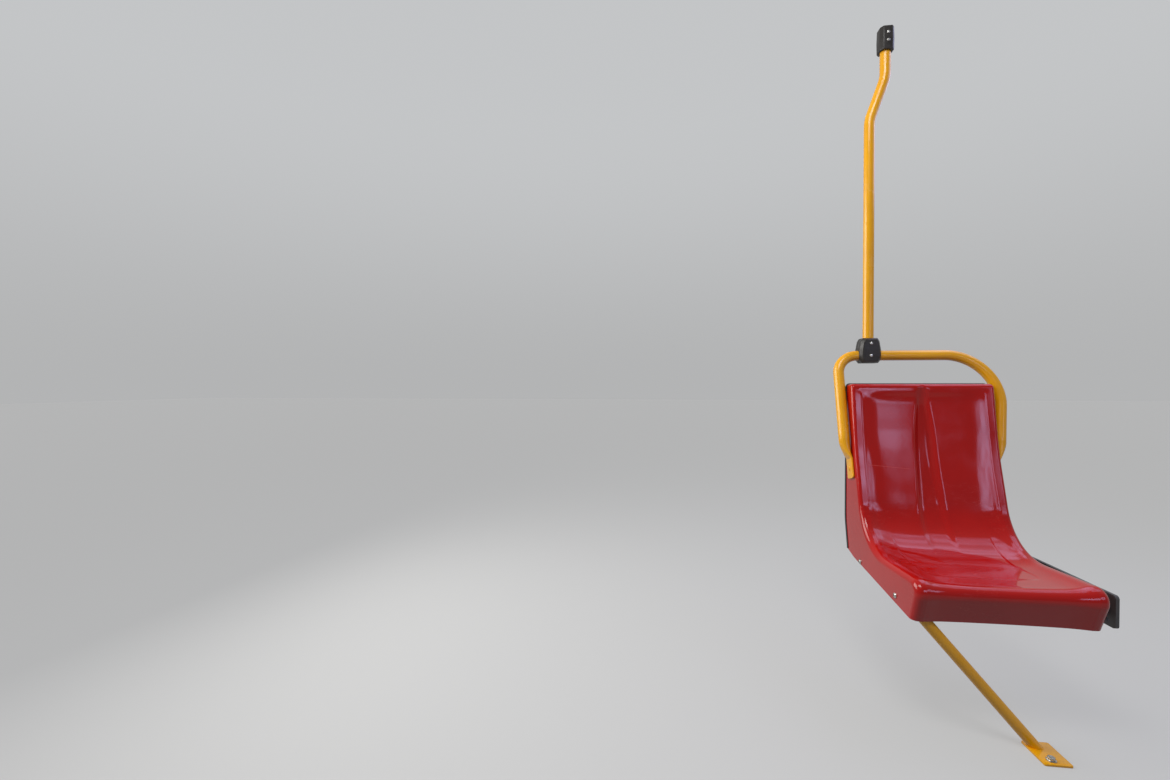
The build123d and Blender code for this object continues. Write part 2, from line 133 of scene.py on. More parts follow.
def linked(name, data):  # a new object in the scene
    piece = bpy.data.objects.new(name, data)
    bpy.context.scene.collection.objects.link(piece)
    return piece


def outwardFaces(piece):  # merges doubles and turns every face outwards
    bm = bmesh.new()
    bm.from_mesh(piece.data)
    bmesh.ops.remove_doubles(bm, verts=bm.verts, dist=1e-6)
    bmesh.ops.recalc_face_normals(bm, faces=bm.faces)
    bm.to_mesh(piece.data)
    bm.free()


def makeObject(name, points, faces):
    mesh = bpy.data.meshes.new(name)
    mesh.from_pydata([tuple(p) for p in points], [], faces)
    mesh.validate()
    piece = linked(name, mesh)
    outwardFaces(piece)
    return piece


tubeAngle, blockAngle = 35, 30  # degrees, past which an edge stays sharp


def shadeSmooth(piece, angle):
    piece.data.shade_smooth()
    piece.data.set_sharp_from_angle(angle=math.radians(angle))


def applied(piece):  # the piece with its modifiers in the mesh
    evaluated = piece.evaluated_get(bpy.context.evaluated_depsgraph_get())
    mesh = bpy.data.meshes.new_from_object(evaluated)
    piece.modifiers.clear()
    old, piece.data = piece.data, mesh
    bpy.data.meshes.remove(old)
    mesh.name = piece.name
    return piece


def turns(sides):  # evenly spaced turns round a circle
    return [2 * math.pi * k / sides for k in range(sides)]


def cornerArc(cx, cy, radius, quarter, cells):  # a quarter of a circle; quarter 0 starts in x
    spread = [quarterTurn * (quarter + k / cells) for k in range(cells + 1)]
    return [(cx + radius * math.cos(a), cy + radius * math.sin(a)) for a in spread]


def ringsToObject(name, rings):  # a closed skin through rings of equal length
    count, last = len(rings[0]), len(rings) - 1
    points = [p for ring in rings for p in ring]
    faces = []
    for i in range(last):
        for k in range(count):
            a, b = i * count + k, i * count + (k + 1) % count
            faces.append((a, b, b + count, a + count))
    faces.append(tuple(reversed(range(count))))
    faces.append(tuple(range(last * count, len(points))))
    return makeObject(name, points, faces)


def finishPiece(piece, material, slotName, smooth, *nodes):  # smooth is an angle or None
    if smooth:
        shadeSmooth(piece, smooth)
    piece.data.materials.clear()
    piece.data.materials.append(material)
    for polygon in piece.data.polygons:
        polygon.material_index = 0
    if nodes:
        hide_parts(*nodes)
    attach(piece, "root")


# Materials
print("materials")


def srgb(r, g, b):
    def linear(v):
        v /= 255
        return v / 12.92 if v <= 0.04045 else ((v + 0.055) / 1.055) ** 2.4

    return (linear(r), linear(g), linear(b), 1.0)


def link(tree, a, b):
    tree.links.new(a, b)


def addNode(tree, kind, inputs, **settings):  # sets or links the inputs and gives the outputs
    node = tree.nodes.new(kind)
    for name, value in settings.items():
        setattr(node, name, value)
    for name, value in inputs.items():
        if isinstance(value, bpy.types.NodeSocket):
            link(tree, value, node.inputs[name])
        else:
            node.inputs[name].default_value = value
    return node.outputs


def makeGroup(name, numbers, outputs):  # a shader group that reads Vector and these numbers
    group = bpy.data.node_groups.new(name, "ShaderNodeTree")
    group.interface.new_socket("Vector", in_out="INPUT", socket_type="NodeSocketVector")
    for socketName, value in numbers.items():
        socket = group.interface.new_socket(socketName, in_out="INPUT", socket_type="NodeSocketFloat")
        socket.default_value = value
    for socketName in outputs:
        group.interface.new_socket(socketName, in_out="OUTPUT", socket_type="NodeSocketFloat")
    return group, group.nodes.new("NodeGroupInput").outputs, group.nodes.new("NodeGroupOutput").inputs


def mathNode(tree, operation, *values):
    return addNode(tree, "ShaderNodeMath", dict(enumerate(values)), operation=operation)[0]


def times(tree, a, b):
    return mathNode(tree, "MULTIPLY", a, b)


def distanceTo(tree, value, middle):
    return mathNode(tree, "ABSOLUTE", mathNode(tree, "SUBTRACT", value, middle))


def noiseNode(tree, vector, scale, detail, roughness=0.5):
    inputs = {"Vector": vector, "Scale": scale, "Detail": detail, "Roughness": roughness}
    return addNode(tree, "ShaderNodeTexNoise", inputs)["Fac"]


def rampNode(tree, value, low, high, start=0.0, end=1.0):
    inputs = {"Value": value, "From Min": low, "From Max": high, "To Min": start, "To Max": end}
    return addNode(tree, "ShaderNodeMapRange", inputs, interpolation_type="SMOOTHSTEP")["Result"]


def mixColours(tree, amount, a, b):
    return addNode(tree, "ShaderNodeMix", {0: amount, 6: a, 7: b}, data_type="RGBA")[2]


def splitNode(tree, vector):
    return addNode(tree, "ShaderNodeSeparateXYZ", {"Vector": vector})


def makeScratchGroup():  # hairline scratches, in patches, where a stretched noise crosses its middle
    group, source, result = makeGroup("hairScratches", {"Scale": 14.0, "Cover": 0.3}, ["Mask"])
    hair, masks = 0.0035, []
    for turn, stretch in ((0.4, 9.0), (1.7, 12.0), (2.6, 7.0)):
        place = addNode(group, "ShaderNodeMapping", {
            "Vector": source["Vector"], "Rotation": (turn * 0.7, turn * 0.4, turn),
            "Scale": (1.0, stretch, stretch * 0.8),
        })
        veins = noiseNode(group, place["Vector"], source["Scale"], 1.0)
        masks.append(rampNode(group, distanceTo(group, veins, 0.5), 0.0, hair, 1.0, 0.0))
    lines = mathNode(group, "MAXIMUM", mathNode(group, "MAXIMUM", masks[0], masks[1]), masks[2])
    patches = noiseNode(group, source["Vector"], 5.0, 2.0)
    gate = mathNode(group, "GREATER_THAN", patches, mathNode(group, "SUBTRACT", 1.0, source["Cover"]))
    link(group, times(group, lines, gate), result["Mask"])
    return group


def makeGrainGroup():  # even skin of a coat or a moulding: fine height, slow blotches and specks
    numbers = {"Grain Scale": 300.0, "Blotch Scale": 6.0}
    group, source, result = makeGroup("surfaceGrain", numbers, ["Height", "Blotch", "Speck"])
    link(group, noiseNode(group, source["Vector"], source["Grain Scale"], 2.0), result["Height"])
    blotch = noiseNode(group, source["Vector"], source["Blotch Scale"], 4.0, 0.55)
    link(group, rampNode(group, blotch, 0.3, 0.7), result["Blotch"])
    fine = noiseNode(group, source["Vector"], 900.0, 1.0)
    link(group, rampNode(group, fine, 0.66, 0.74), result["Speck"])
    return group


scratchGroup = makeScratchGroup()
grainGroup = makeGrainGroup()


def newMaterial(name):
    material = bpy.data.materials.new(name)
    material.use_nodes = True
    tree = material.node_tree
    place = tree.nodes.new("ShaderNodeTexCoord").outputs["Object"]
    return material, tree, tree.nodes["Principled BSDF"].inputs, place


def grainedFinish(name, look):  # what every finish has: blotched colour over a fine grain
    material, tree, shader, place = newMaterial(name)
    inputs = {"Vector": place, "Grain Scale": look["grainScale"], "Blotch Scale": look["blotchScale"]}
    grain = addNode(tree, "ShaderNodeGroup", inputs, node_tree=grainGroup)
    if "rough" in look:  # the roughness follows the blotches
        link(tree, rampNode(tree, grain["Blotch"], 0.0, 1.0, *look["rough"]), shader["Roughness"])
    strength, distance = look["bump"]
    inputs = {"Strength": strength, "Distance": distance, "Height": grain["Height"]}
    link(tree, addNode(tree, "ShaderNodeBump", inputs)["Normal"], shader["Normal"])
    colour = mixColours(tree, grain["Blotch"], look["base"], look["blotches"])
    link(tree, colour, shader["Base Color"])
    return material, tree, shader, place, grain, colour


def scratchMask(tree, place, look):
    inputs = {"Vector": place, "Scale": look["scratchScale"], "Cover": look["scratchCover"]}
    scratch = addNode(tree, "ShaderNodeGroup", inputs, node_tree=scratchGroup)
    return times(tree, scratch["Mask"], look["scratchShow"])


def wearInto(tree, shader, marks, colour, look):  # the worn colour shows through where the marks are
    link(tree, mixColours(tree, marks, colour, look["worn"]), shader["Base Color"])


def redLaminate():
    look = {
        "base": srgb(172, 16, 12), "blotches": srgb(163, 12, 10), "worn": srgb(206, 78, 66),
        "grainScale": 95.0, "blotchScale": 5.0, "bump": (0.045, 0.0006), "specular": 0.38,
        "polish": 0.07, "smudge": 0.20, "smudgeNoise": (8.0, 5.0, 0.6), "smudgeEdges": (0.48, 0.78),
        "scratchScale": 11.0, "scratchCover": 0.46, "scratchShow": 0.35, "markRough": 0.6,
        "lineHeight": 0.6265, "lineTilt": 0.088, "lineEdges": (0.0004, 0.0009), "lineShow": 0.55,
        "lineStart": (-0.180, -0.172), "lineEnd": (-0.060, -0.044),
    }
    material, tree, shader, place, _, colour = grainedFinish("redLaminate", look)
    smears = noiseNode(tree, place, *look["smudgeNoise"])
    smudges = rampNode(tree, smears, *look["smudgeEdges"], look["polish"], look["smudge"])
    split = splitNode(tree, place)
    across = mathNode(tree, "SUBTRACT", split["X"], shellMiddle)
    slope = mathNode(tree, "ADD", times(tree, across, look["lineTilt"]), split["Z"])
    line = rampNode(tree, distanceTo(tree, slope, look["lineHeight"]), *look["lineEdges"], 1.0, 0.0)
    start = rampNode(tree, across, *look["lineStart"])
    end = rampNode(tree, across, *look["lineEnd"], 1.0, 0.0)
    oneLine = times(tree, line, times(tree, start, end))
    shownLine = times(tree, oneLine, look["lineShow"])  # the long hairline low on the back
    marks = mathNode(tree, "MAXIMUM", scratchMask(tree, place, look), shownLine)
    wearInto(tree, shader, marks, colour, look)
    rough = mathNode(tree, "ADD", smudges, times(tree, marks, look["markRough"]))
    link(tree, rough, shader["Roughness"])
    shader["Specular IOR Level"].default_value = look["specular"]
    return material


def yellowCoat():
    look = {
        "base": srgb(230, 164, 13), "blotches": srgb(222, 156, 11), "worn": srgb(122, 90, 34),
        "grainScale": 520.0, "blotchScale": 11.0, "bump": (0.07, 0.0004),
        "gloss": 0.17, "dull": 0.30, "glossNoise": (17.0, 4.0), "glossEdges": (0.4, 0.75),
        "scratchScale": 23.0, "scratchCover": 0.36, "scratchShow": 0.35,
        "chipNoise": (62.0, 4.0, 0.65), "chipEdges": (0.71, 0.74), "chipShow": 0.6,
    }
    material, tree, shader, place, _, colour = grainedFinish("yellowCoat", look)
    chips = rampNode(tree, noiseNode(tree, place, *look["chipNoise"]), *look["chipEdges"])
    shownChips = times(tree, chips, look["chipShow"])
    marks = mathNode(tree, "MAXIMUM", scratchMask(tree, place, look), shownChips)
    wearInto(tree, shader, marks, colour, look)
    patches = noiseNode(tree, place, *look["glossNoise"])
    link(tree, rampNode(tree, patches, *look["glossEdges"], look["gloss"], look["dull"]), shader["Roughness"])
    return material


def blackMoulding():
    look = {
        "base": srgb(27, 24, 21), "blotches": srgb(38, 33, 29), "worn": srgb(96, 88, 78), "wornShow": 0.25,
        "grainScale": 1400.0, "blotchScale": 22.0, "bump": (0.35, 0.0002), "rough": (0.36, 0.5),
    }
    material, tree, shader, _, grain, colour = grainedFinish("blackMoulding", look)
    wearInto(tree, shader, times(tree, grain["Speck"], look["wornShow"]), colour, look)
    return material


def trimRubber():
    look = {
        "base": srgb(22, 22, 22), "blotches": srgb(40, 38, 36),
        "grainScale": 900.0, "blotchScale": 30.0, "bump": (0.3, 0.0003), "rough": (0.5, 0.68),
    }
    return grainedFinish("trimRubber", look)[0]


def zincSteel():
    look = {
        "base": srgb(206, 205, 200), "blotches": srgb(158, 156, 150),
        "grainScale": 700.0, "blotchScale": 160.0, "bump": (0.1, 0.0001), "rough": (0.2, 0.42),
    }
    material, _, shader, _, _, _ = grainedFinish("zincSteel", look)
    shader["Metallic"].default_value = 1.0
    return material


def framePaint():
    look = {
        "base": srgb(58, 58, 60), "blotches": srgb(74, 72, 70), "worn": srgb(120, 118, 112),
        "grainScale": 420.0, "blotchScale": 14.0, "bump": (0.2, 0.0004), "rough": (0.42, 0.6),
        "scratchScale": 30.0, "scratchCover": 0.4, "scratchShow": 0.4,
    }
    material, tree, shader, place, _, colour = grainedFinish("framePaint", look)
    wearInto(tree, shader, scratchMask(tree, place, look), colour, look)
    return material


redMaterial = redLaminate()
yellowMaterial = yellowCoat()
blackMaterial = blackMoulding()
rubberMaterial = trimRubber()
zincMaterial = zincSteel()
frameMaterial = framePaint()


# Moulded shell: one profile down the front, a dish, a channel down the back and rolled edges
print("shell")
shell = {
    "wall": 0.005,
    "topDepth": 0.048, "topRound": 0.014, "lipDepth": 0.510, "lipHeight": 0.416, "lipRound": 0.034,
    "midForward": 0.032, "midDrop": 0.210, "midRound": 0.9,
    "bendForward": 0.109, "bendUnder": 0.016, "bendRound": 0.165,
    "bendMiddle": (0.075, 0.030),  # forward of the top edge, over the lip
    "skirtFootDepth": 0.469, "skirtFootHeight": shellLow.z,
    "roll": 0.011, "panRoll": 0.0165, "rollRamp": 0.08, "rollEnd": 0.0015, "rollCells": 12,
    "dishTop": 0.020, "dishRamp": 0.036, "dishRim": 0.187, "rimFall": 0.008,
    "shoulderSoft": 0.0065, "floorSoft": 0.0045, "rimSoft": 0.0022,
    "terraceSide": 0.050, "terraceFront": 0.104, "terraceDrop": 0.0012, "terraceFade": 0.09,
    "terraceCorner": 0.5, "terraceEdge": 0.94, "terraceRamp": 0.12,
    "step": 0.0050, "turnStep": math.radians(4.5), "footStep": 0.012, "footTurn": math.radians(5),
    "columns": [(0.122, 12), (0.146, 10), (0.176, 9)],  # place across, cells up to it
    "columnEase": 0.003, "columnLeast": 0.001, "edgeNear": 0.0005, "edgeFar": 0.010,
    "notchRoom": 0.002, "borderRoom": 0.004, "smooth": 40,
}
shellHalf = (shellHigh.x - shellLow.x) / 2
shellTop = shellHigh.z
shellProfile = [  # depth, height, radius
    (0.0, shellTop, 0.0),
    (shell["topDepth"], shellTop, shell["topRound"]),
    (shell["topDepth"] + shell["midForward"], shellTop - shell["midDrop"], shell["midRound"]),
    (shell["topDepth"] + shell["bendForward"], shell["lipHeight"] - shell["bendUnder"], shell["bendRound"]),
    (shell["lipDepth"], shell["lipHeight"], shell["lipRound"]),
    (shell["skirtFootDepth"], shell["skirtFootHeight"], 0.0),
]
shellFoot = [  # depth, height, radius, from the front skirt to the top of the rear edge
    (shell["skirtFootDepth"], shell["skirtFootHeight"], 0.0),
    (0.080, shell["skirtFootHeight"] + 0.034, 0.090),
    (0.024, shell["skirtFootHeight"] + 0.046, 0.0),
    (0.0, 0.450, 0.160),
    (0.0, shellTop, 0.0),
]
dishShare = [  # distance from the middle, share of the full depth
    (0.0, 1.0),
    (0.070, 0.935),
    (0.135, 0.73),
    (0.165, 0.43),
    (shell["dishRim"], 0.0),
    (0.205, -0.42),
]
channelRows = [  # way down from the top edge, floor half width, floor depth, flank run for each unit of rise
    (0.0010, 0.0040, -0.0030, 1.6),
    (0.0180, 0.0055, 0.0044, 1.7),
    (0.0395, 0.0072, 0.0092, 1.4),
    (0.0655, 0.0090, 0.0138, 1.15),
    (0.1125, 0.0115, 0.0188, 1.0),
    (0.1725, 0.0140, 0.0222, 0.95),
    (0.2375, 0.0165, 0.0236, 0.95),
    (0.3025, 0.0205, 0.0218, 1.05),
    (0.3625, 0.0250, 0.0178, 1.25),
    (0.4175, 0.0285, 0.0152, 1.6),
    (0.4725, 0.0310, 0.0136, 1.9),
    (0.5225, 0.0320, 0.0100, 2.0),
]
pathPoints, pathWays, pathTravel = roundedPath(shellProfile, shell["step"], shell["turnStep"])


def travelAt(depth, height):  # travel of the path's nearest station
    return min(zip(pathTravel, pathPoints), key=lambda s: math.dist(s[1], (depth, height)))[0]


topCorner = travelAt(shell["topDepth"], shellTop)
midTravel = travelAt(*shellProfile[2][:2])
bendTravel = travelAt(shell["topDepth"] + shell["bendMiddle"][0], shell["lipHeight"] + shell["bendMiddle"][1])
lipTravel = travelAt(*shellProfile[4][:2])
fullDish = [  # travel, depth of the dish in the middle
    (topCorner + shell["dishTop"] * 0.5, -0.0026),
    (topCorner + shell["dishTop"], 0.0),
    (topCorner + shell["dishTop"] + shell["dishRamp"] * 0.6, 0.0044),
    (topCorner + shell["dishTop"] + shell["dishRamp"] * 1.3, 0.0064),
    (midTravel - 0.060, 0.0064),
    (midTravel + 0.060, 0.0094),
    (bendTravel - 0.090, 0.0096),
    (bendTravel + 0.120, 0.0140),
    (lipTravel - 0.050, 0.0140),
    (lipTravel + 0.030, 0.0082),
    (pathTravel[-1], 0.0080),
]


def rollAt(travel):  # the rolled side edge is fuller along the pan and the front
    share = smoothStep((travel - bendTravel + shell["rollRamp"]) / (2 * shell["rollRamp"]))
    return shell["roll"] + (shell["panRoll"] - shell["roll"]) * share


def dishDepth(across, travel):
    full = tableValue(fullDish, travel, 1)
    share = tableValue(dishShare, abs(across), 1)
    if full < 0 or share < 0:
        return -abs(full) - shell["rimFall"] * max(-share, 0.0)
    inSide = (shell["dishRim"] - abs(across)) / shell["terraceSide"]
    inFront = (lipTravel - travel) / shell["terraceFront"]
    within = softMin(inSide, inFront, shell["terraceCorner"])  # near 1 at the pan's shallow inner step
    terrace = smoothStep((within - shell["terraceEdge"]) / shell["terraceRamp"])
    faded = smoothStep((travel - bendTravel) / shell["terraceFade"])
    return full * share + shell["terraceDrop"] * terrace * faded


def channelAt(down):  # the channel's floor half width, floor depth and flank run
    return [tableValue(channelRows, down, column) for column in (1, 2, 3)]


def frontDepth(across, travel):  # how far the seen surface lies under the plain seat form
    dish = softMax(dishDepth(across, travel), 0.0, shell["rimSoft"])
    down = travel - topCorner
    if down < channelRows[0][0] or down > channelRows[-1][0]:
        return dish
    half, floor, run = channelAt(down)
    flank = floor - (abs(across) - half) / run
    channel = softMin(floor, flank, shell["floorSoft"])
    return softMax(dish, channel, shell["shoulderSoft"])


def columnPlaces(travel):  # places across one half, closer together where the form turns
    half, floor, run = channelAt(travel - topCorner)
    ease, least, side = shell["columnEase"], shell["columnLeast"], shellHalf - rollAt(travel)
    edge = max(half + max(floor - dishDepth(half, travel), least) * run, half + 2 * ease)
    near, far = edge + shell["edgeNear"], edge + shell["edgeFar"]
    stops = [(0.0, 0), (max(half - ease, least), 4), (half + ease, 4), (near, 6), (far, 5)]
    stops += shell["columns"] + [(side - ease, 9), (side, 2)]
    places = [0.0]
    for (a, _), (b, cells) in zip(stops, stops[1:]):
        places += [a + (b - a) * k / cells for k in range(1, cells + 1)]
    return places


footSlope = (shellFoot[1][1] - shellFoot[0][1]) / (shellFoot[1][0] - shellFoot[0][0])


def footLevel(depth):  # height of the skirt's lower edge
    return shell["skirtFootHeight"] + (depth - shell["skirtFootDepth"]) * footSlope


def shellRow(index):  # one cross-section, from one side wall to the other
    (depth, height), (dx, dz), travel = pathPoints[index], pathWays[index], pathTravel[index]
    half = [(across, -frontDepth(across, travel)) for across in columnPlaces(travel)]
    roll = rollAt(travel)
    start = frontDepth(shellHalf - roll, travel)
    for k in range(1, shell["rollCells"] + 1):
        turn = quarterTurn * k / shell["rollCells"]
        half.append((shellHalf - roll * (1 - math.sin(turn)), -start - (roll - start) * (1 - math.cos(turn))))
    half.append((shellHalf, -roll - shell["rollEnd"]))
    points = []
    for across, n in [(-a, n) for a, n in reversed(half[1:])] + half:
        d, z = depth - dz * n, height + dx * n
        if index == len(pathPoints) - 1:  # the last row is cut along the skirt's lower edge
            slide = (footLevel(d) - z) / (dz - dx * footSlope)
            d, z = d + dx * slide, z + dz * slide
        points.append(seatPoint(across, max(d, 0.0), z))
    return points


def footLine(notches):  # lower and rear edge of one side wall, from front to rear top
    corners = shellFoot[:1]
    for depth, half, top in notches:
        for d in (depth + half, depth - half):
            pair = [(d, footLevel(d), 0.0), (d, top, 0.0)]
            corners = corners + (pair if d > depth else pair[::-1])
    return roundedPath(corners + shellFoot[1:], shell["footStep"], shell["footTurn"])[0]


def buildShell():
    rows = [shellRow(i) for i in range(len(pathPoints))]
    width = len(rows[0])
    points = [p for row in rows for p in row]
    faces = []
    for i in range(len(rows) - 1):
        for k in range(width - 1):
            a = i * width + k
            faces.append((a, a + 1, a + width + 1, a + width))
    notches = []
    for node in ("cross_tube_front", "cross_tube_rear"):
        low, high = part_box(node)
        depth = rearPlane - (low.y + high.y) / 2
        notches.append((depth, (high.y - low.y) / 2 + shell["notchRoom"], high.z + shell["notchRoom"]))
    for side, openings in ((-1, []), (1, notches)):
        border = [i * width + (0 if side < 0 else width - 1) for i in range(len(rows))]
        first, last, room = points[border[-1]], points[border[0]], shell["borderRoom"]
        for d, z in footLine(openings):
            place = seatPoint(side * shellHalf, d, z)
            if place.y > first.y + room and (place - last).length > room and z < last.z:
                border.append(len(points))
                points.append(place)
        faces.append(tuple(border if side > 0 else reversed(border)))
    piece = makeObject("shellMoulding", points, faces)
    thick = piece.modifiers.new("wall", "SOLIDIFY")
    thick.thickness = shell["wall"]
    thick.offset = -1.0
    piece = applied(piece)
    finishPiece(piece, redMaterial, "laminate_red", shell["smooth"], "seat_shell")


buildShell()


# Edge trim: a rounded U of rubber pushed over the rear edge
print("trim")
trim = {
    "lip": 0.002, "cover": 0.009, "round": 0.0018, "slot": 0.0026, "slotFloor": 0.0002, "arcCells": 3,
    "rearRound": 0.155, "step": 0.03, "turnStep": math.radians(3), "cornerCells": 8, "smooth": 50,
}


def trimSection():  # across the wall, along its depth; the slot takes the shell's edge
    half, back = shell["wall"] / 2 + trim["lip"], -trim["lip"]
    r, cover, slot, cells = trim["round"], trim["cover"], trim["slot"], trim["arcCells"]
    small = r * 0.5
    ring = cornerArc(half - r, cover - r, r, 0, cells)
    ring += cornerArc(slot + small, cover - small, small, 1, cells)
    ring += [(slot, trim["slotFloor"]), (-slot, trim["slotFloor"])]
    ring += cornerArc(-slot - small, cover - small, small, 0, cells)
    ring += cornerArc(-half + r, cover - r, r, 1, cells)
    return ring + cornerArc(-half + r, back + r, r, 2, cells) + cornerArc(half - r, back + r, r, 3, cells)


def buildTrim():
    middle = shellHalf - shell["wall"] / 2
    rollFoot = shellTop - shell["roll"]
    rise = [shellFoot[2], (0.0, shellFoot[3][1], trim["rearRound"]), (0.0, rollFoot, 0.0)]
    points, ways, _ = roundedPath(rise, trim["step"], trim["turnStep"])
    stations = []  # place, outward direction across the wall, direction into the seat
    for (d, z), (dx, dz) in zip(points, ways):
        stations.append((Vector((-middle, -d, z)), Vector((-1, 0, 0)), Vector((0, -dz, -dx))))
    bend = shell["roll"] - shell["wall"] / 2
    for k in range(1, trim["cornerCells"] + 1):
        a = quarterTurn * k / trim["cornerCells"]
        place = Vector((-middle + bend * (1 - math.cos(a)), 0, rollFoot + bend * math.sin(a)))
        stations.append((place, Vector((-math.cos(a), 0, math.sin(a))), Vector((0, -1, 0))))
    mirrored = [(Vector((-p.x, p.y, p.z)), Vector((-o.x, o.y, o.z)), i) for p, o, i in reversed(stations)]
    section = trimSection()
    rings = []
    for place, outward, inward in stations + mirrored:
        base = Vector((shellMiddle, rearPlane, 0)) + place
        rings.append([base + outward * x + inward * y for x, y in section])
    piece = ringsToObject("rearTrim", rings)
    finishPiece(piece, rubberMaterial, "trim_rubber", trim["smooth"], "edge_trim")


buildTrim()


# Grab loop: round tube whose ends are pressed flat and bolted to the shell's sides
print("grab loop")
loop = {
    "radius": 0.01685, "barHeight": shellTop + 0.096, "gap": 0.0023, "lean": math.radians(14.5),
    "bendAisle": 0.063, "bendWall": 0.150, "wallReach": 0.045, "jogTop": shellTop - 0.180,
    "flatTop": shellTop - 0.245, "flatFoot": shellTop - 0.307, "flatWidth": 0.047, "flatThick": 0.0068,
    "flatDepth": 0.055, "setback": 0.011, "flatCorner": 0.008, "seat": 0.0002, "sides": 48,
    "step": 0.02, "turnStep": math.radians(3), "flatSpread": 1.7, "pressEase": 1.9,
    "pressRings": 18, "cornerRings": 10,
}
legX = shellHalf + loop["gap"] + loop["radius"]
flatX = shellHalf + loop["seat"] + loop["flatThick"] / 2
flatMiddle = (loop["flatTop"] + loop["flatFoot"]) / 2
loopUp = Vector((0, math.sin(loop["lean"]), math.cos(loop["lean"])))
loopAcross = Vector((0, -math.cos(loop["lean"]), math.sin(loop["lean"])))
setback = loop["setback"] / math.cos(loop["lean"])
flatShift = Vector((0, setback, 0))  # from the tube's plane to the plane of the flats
loopOrigin = seatPoint(0, loop["flatDepth"] + setback, flatMiddle)


def loopHeight(z):  # height along the leaning plane
    return (z - flatMiddle) / math.cos(loop["lean"])


def loopPlace(x, v):
    return loopOrigin + Vector((x, 0, 0)) + loopUp * v


def pressedRing(centre, thinWay, squash, narrow=0.0):  # round at squash 0, flat at 1
    wide = loop["radius"] + (loop["flatWidth"] / 2 - loop["radius"]) * squash - narrow
    thin = loop["radius"] + (loop["flatThick"] / 2 - loop["radius"]) * squash
    ring = []
    for a in turns(loop["sides"]):
        c, s = math.cos(a), math.sin(a)
        flatC = thin * c + (wide - thin) * max(-1.0, min(1.0, c * loop["flatSpread"]))
        x = (1 - squash) * wide * c + squash * flatC
        ring.append(centre + loopAcross * x + thinWay * (thin * s))
    return ring


def buildLoop():
    top = loopHeight(loop["barHeight"])
    corners = [
        (-legX, loopHeight(loop["jogTop"]), 0.0),
        (-legX, top, loop["bendAisle"]),
        (legX + loop["wallReach"], top, loop["bendWall"]),
        (legX, loopHeight(loop["jogTop"]), 0.0),
    ]
    points, ways, _ = roundedPath(corners, loop["step"], loop["turnStep"])
    rings = []
    for (x, v), (dx, dv) in zip(points, ways):
        outward = Vector((-dv, 0, 0)) + loopUp * dx
        rings.append(pressedRing(loopPlace(x, v), outward, 0.0))

    def pressedEnd(side, place, way):  # rings from the round tube down to the rounded foot of the flat
        jog, foot = place[1] - loopHeight(loop["flatTop"]), loopHeight(loop["flatFoot"])
        flatOut = Vector((-1, 0, 0))
        result = []
        for k in range(1, loop["pressRings"] + 1):
            share = k / loop["pressRings"]
            squash = share ** loop["pressEase"]
            x = place[0] + (side * flatX - place[0]) * squash
            v = place[1] - jog * share
            lean = way[0] / way[1] * (1 - share)
            outward = (flatOut + loopUp * lean).normalized()
            result.append(pressedRing(loopPlace(x, v) + flatShift * share, outward, squash))
        r = loop["flatCorner"]
        for k in range(loop["cornerRings"] + 1):
            fall = r * math.sin(quarterTurn * k / loop["cornerRings"])
            narrow = r - math.sqrt(max(r * r - fall * fall, 0.0))
            centre = loopPlace(side * flatX, foot + r - fall) + flatShift
            result.append(pressedRing(centre, flatOut, 1.0, narrow))
        return result

    aisleEnd = pressedEnd(-1, points[0], ways[0])
    wallEnd = pressedEnd(1, points[-1], ways[-1])
    turned = [ring[:1] + ring[:0:-1] for ring in wallEnd]  # reversed, because this end runs down
    piece = ringsToObject("grabLoopTube", aisleEnd[::-1] + rings + turned)
    finishPiece(piece, yellowMaterial, "tube_yellow", tubeAngle, "grab_loop")


buildLoop()


# Stanchion with its bend near the ceiling
print("stanchion")
pole = {
    "sides": 48, "bendRound": 0.110, "straight": 0.160, "jog": 0.142, "offset": 0.049,
    "step": 0.05, "turnStep": math.radians(2.5),
}
poleLow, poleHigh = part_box("stanchion")
poleRadius = (poleHigh.y - poleLow.y) / 2
poleX = poleLow.x + poleRadius
poleY = (poleLow.y + poleHigh.y) / 2


def nodeTree(name, inputs, output):  # an empty tree, its inputs and the socket it ends in
    tree = bpy.data.node_groups.new(name + "Nodes", "GeometryNodeTree")
    for socketName, kind in inputs.items():
        tree.interface.new_socket(socketName, in_out="INPUT", socket_type="NodeSocket" + kind)
    tree.interface.new_socket(output, in_out="OUTPUT", socket_type="NodeSocketGeometry")
    return tree, tree.nodes.new("NodeGroupInput").outputs, tree.nodes.new("NodeGroupOutput").inputs[output]


def realAndPainted(tree, geometry, finish, result):  # how each tree ends
    real = addNode(tree, "GeometryNodeRealizeInstances", {"Geometry": geometry})
    paint = addNode(tree, "GeometryNodeSetMaterial", {"Geometry": real["Geometry"], "Material": finish})
    link(tree, paint["Geometry"], result)


def appliedTree(piece, tree, values):  # the piece's mesh becomes what the tree makes of it
    modifier = piece.modifiers.new("nodes", "NODES")
    modifier.node_group = tree
    for item in tree.interface.items_tree:
        if item.in_out == "INPUT" and item.name in values:
            modifier[item.identifier] = values[item.name]
    return applied(piece)


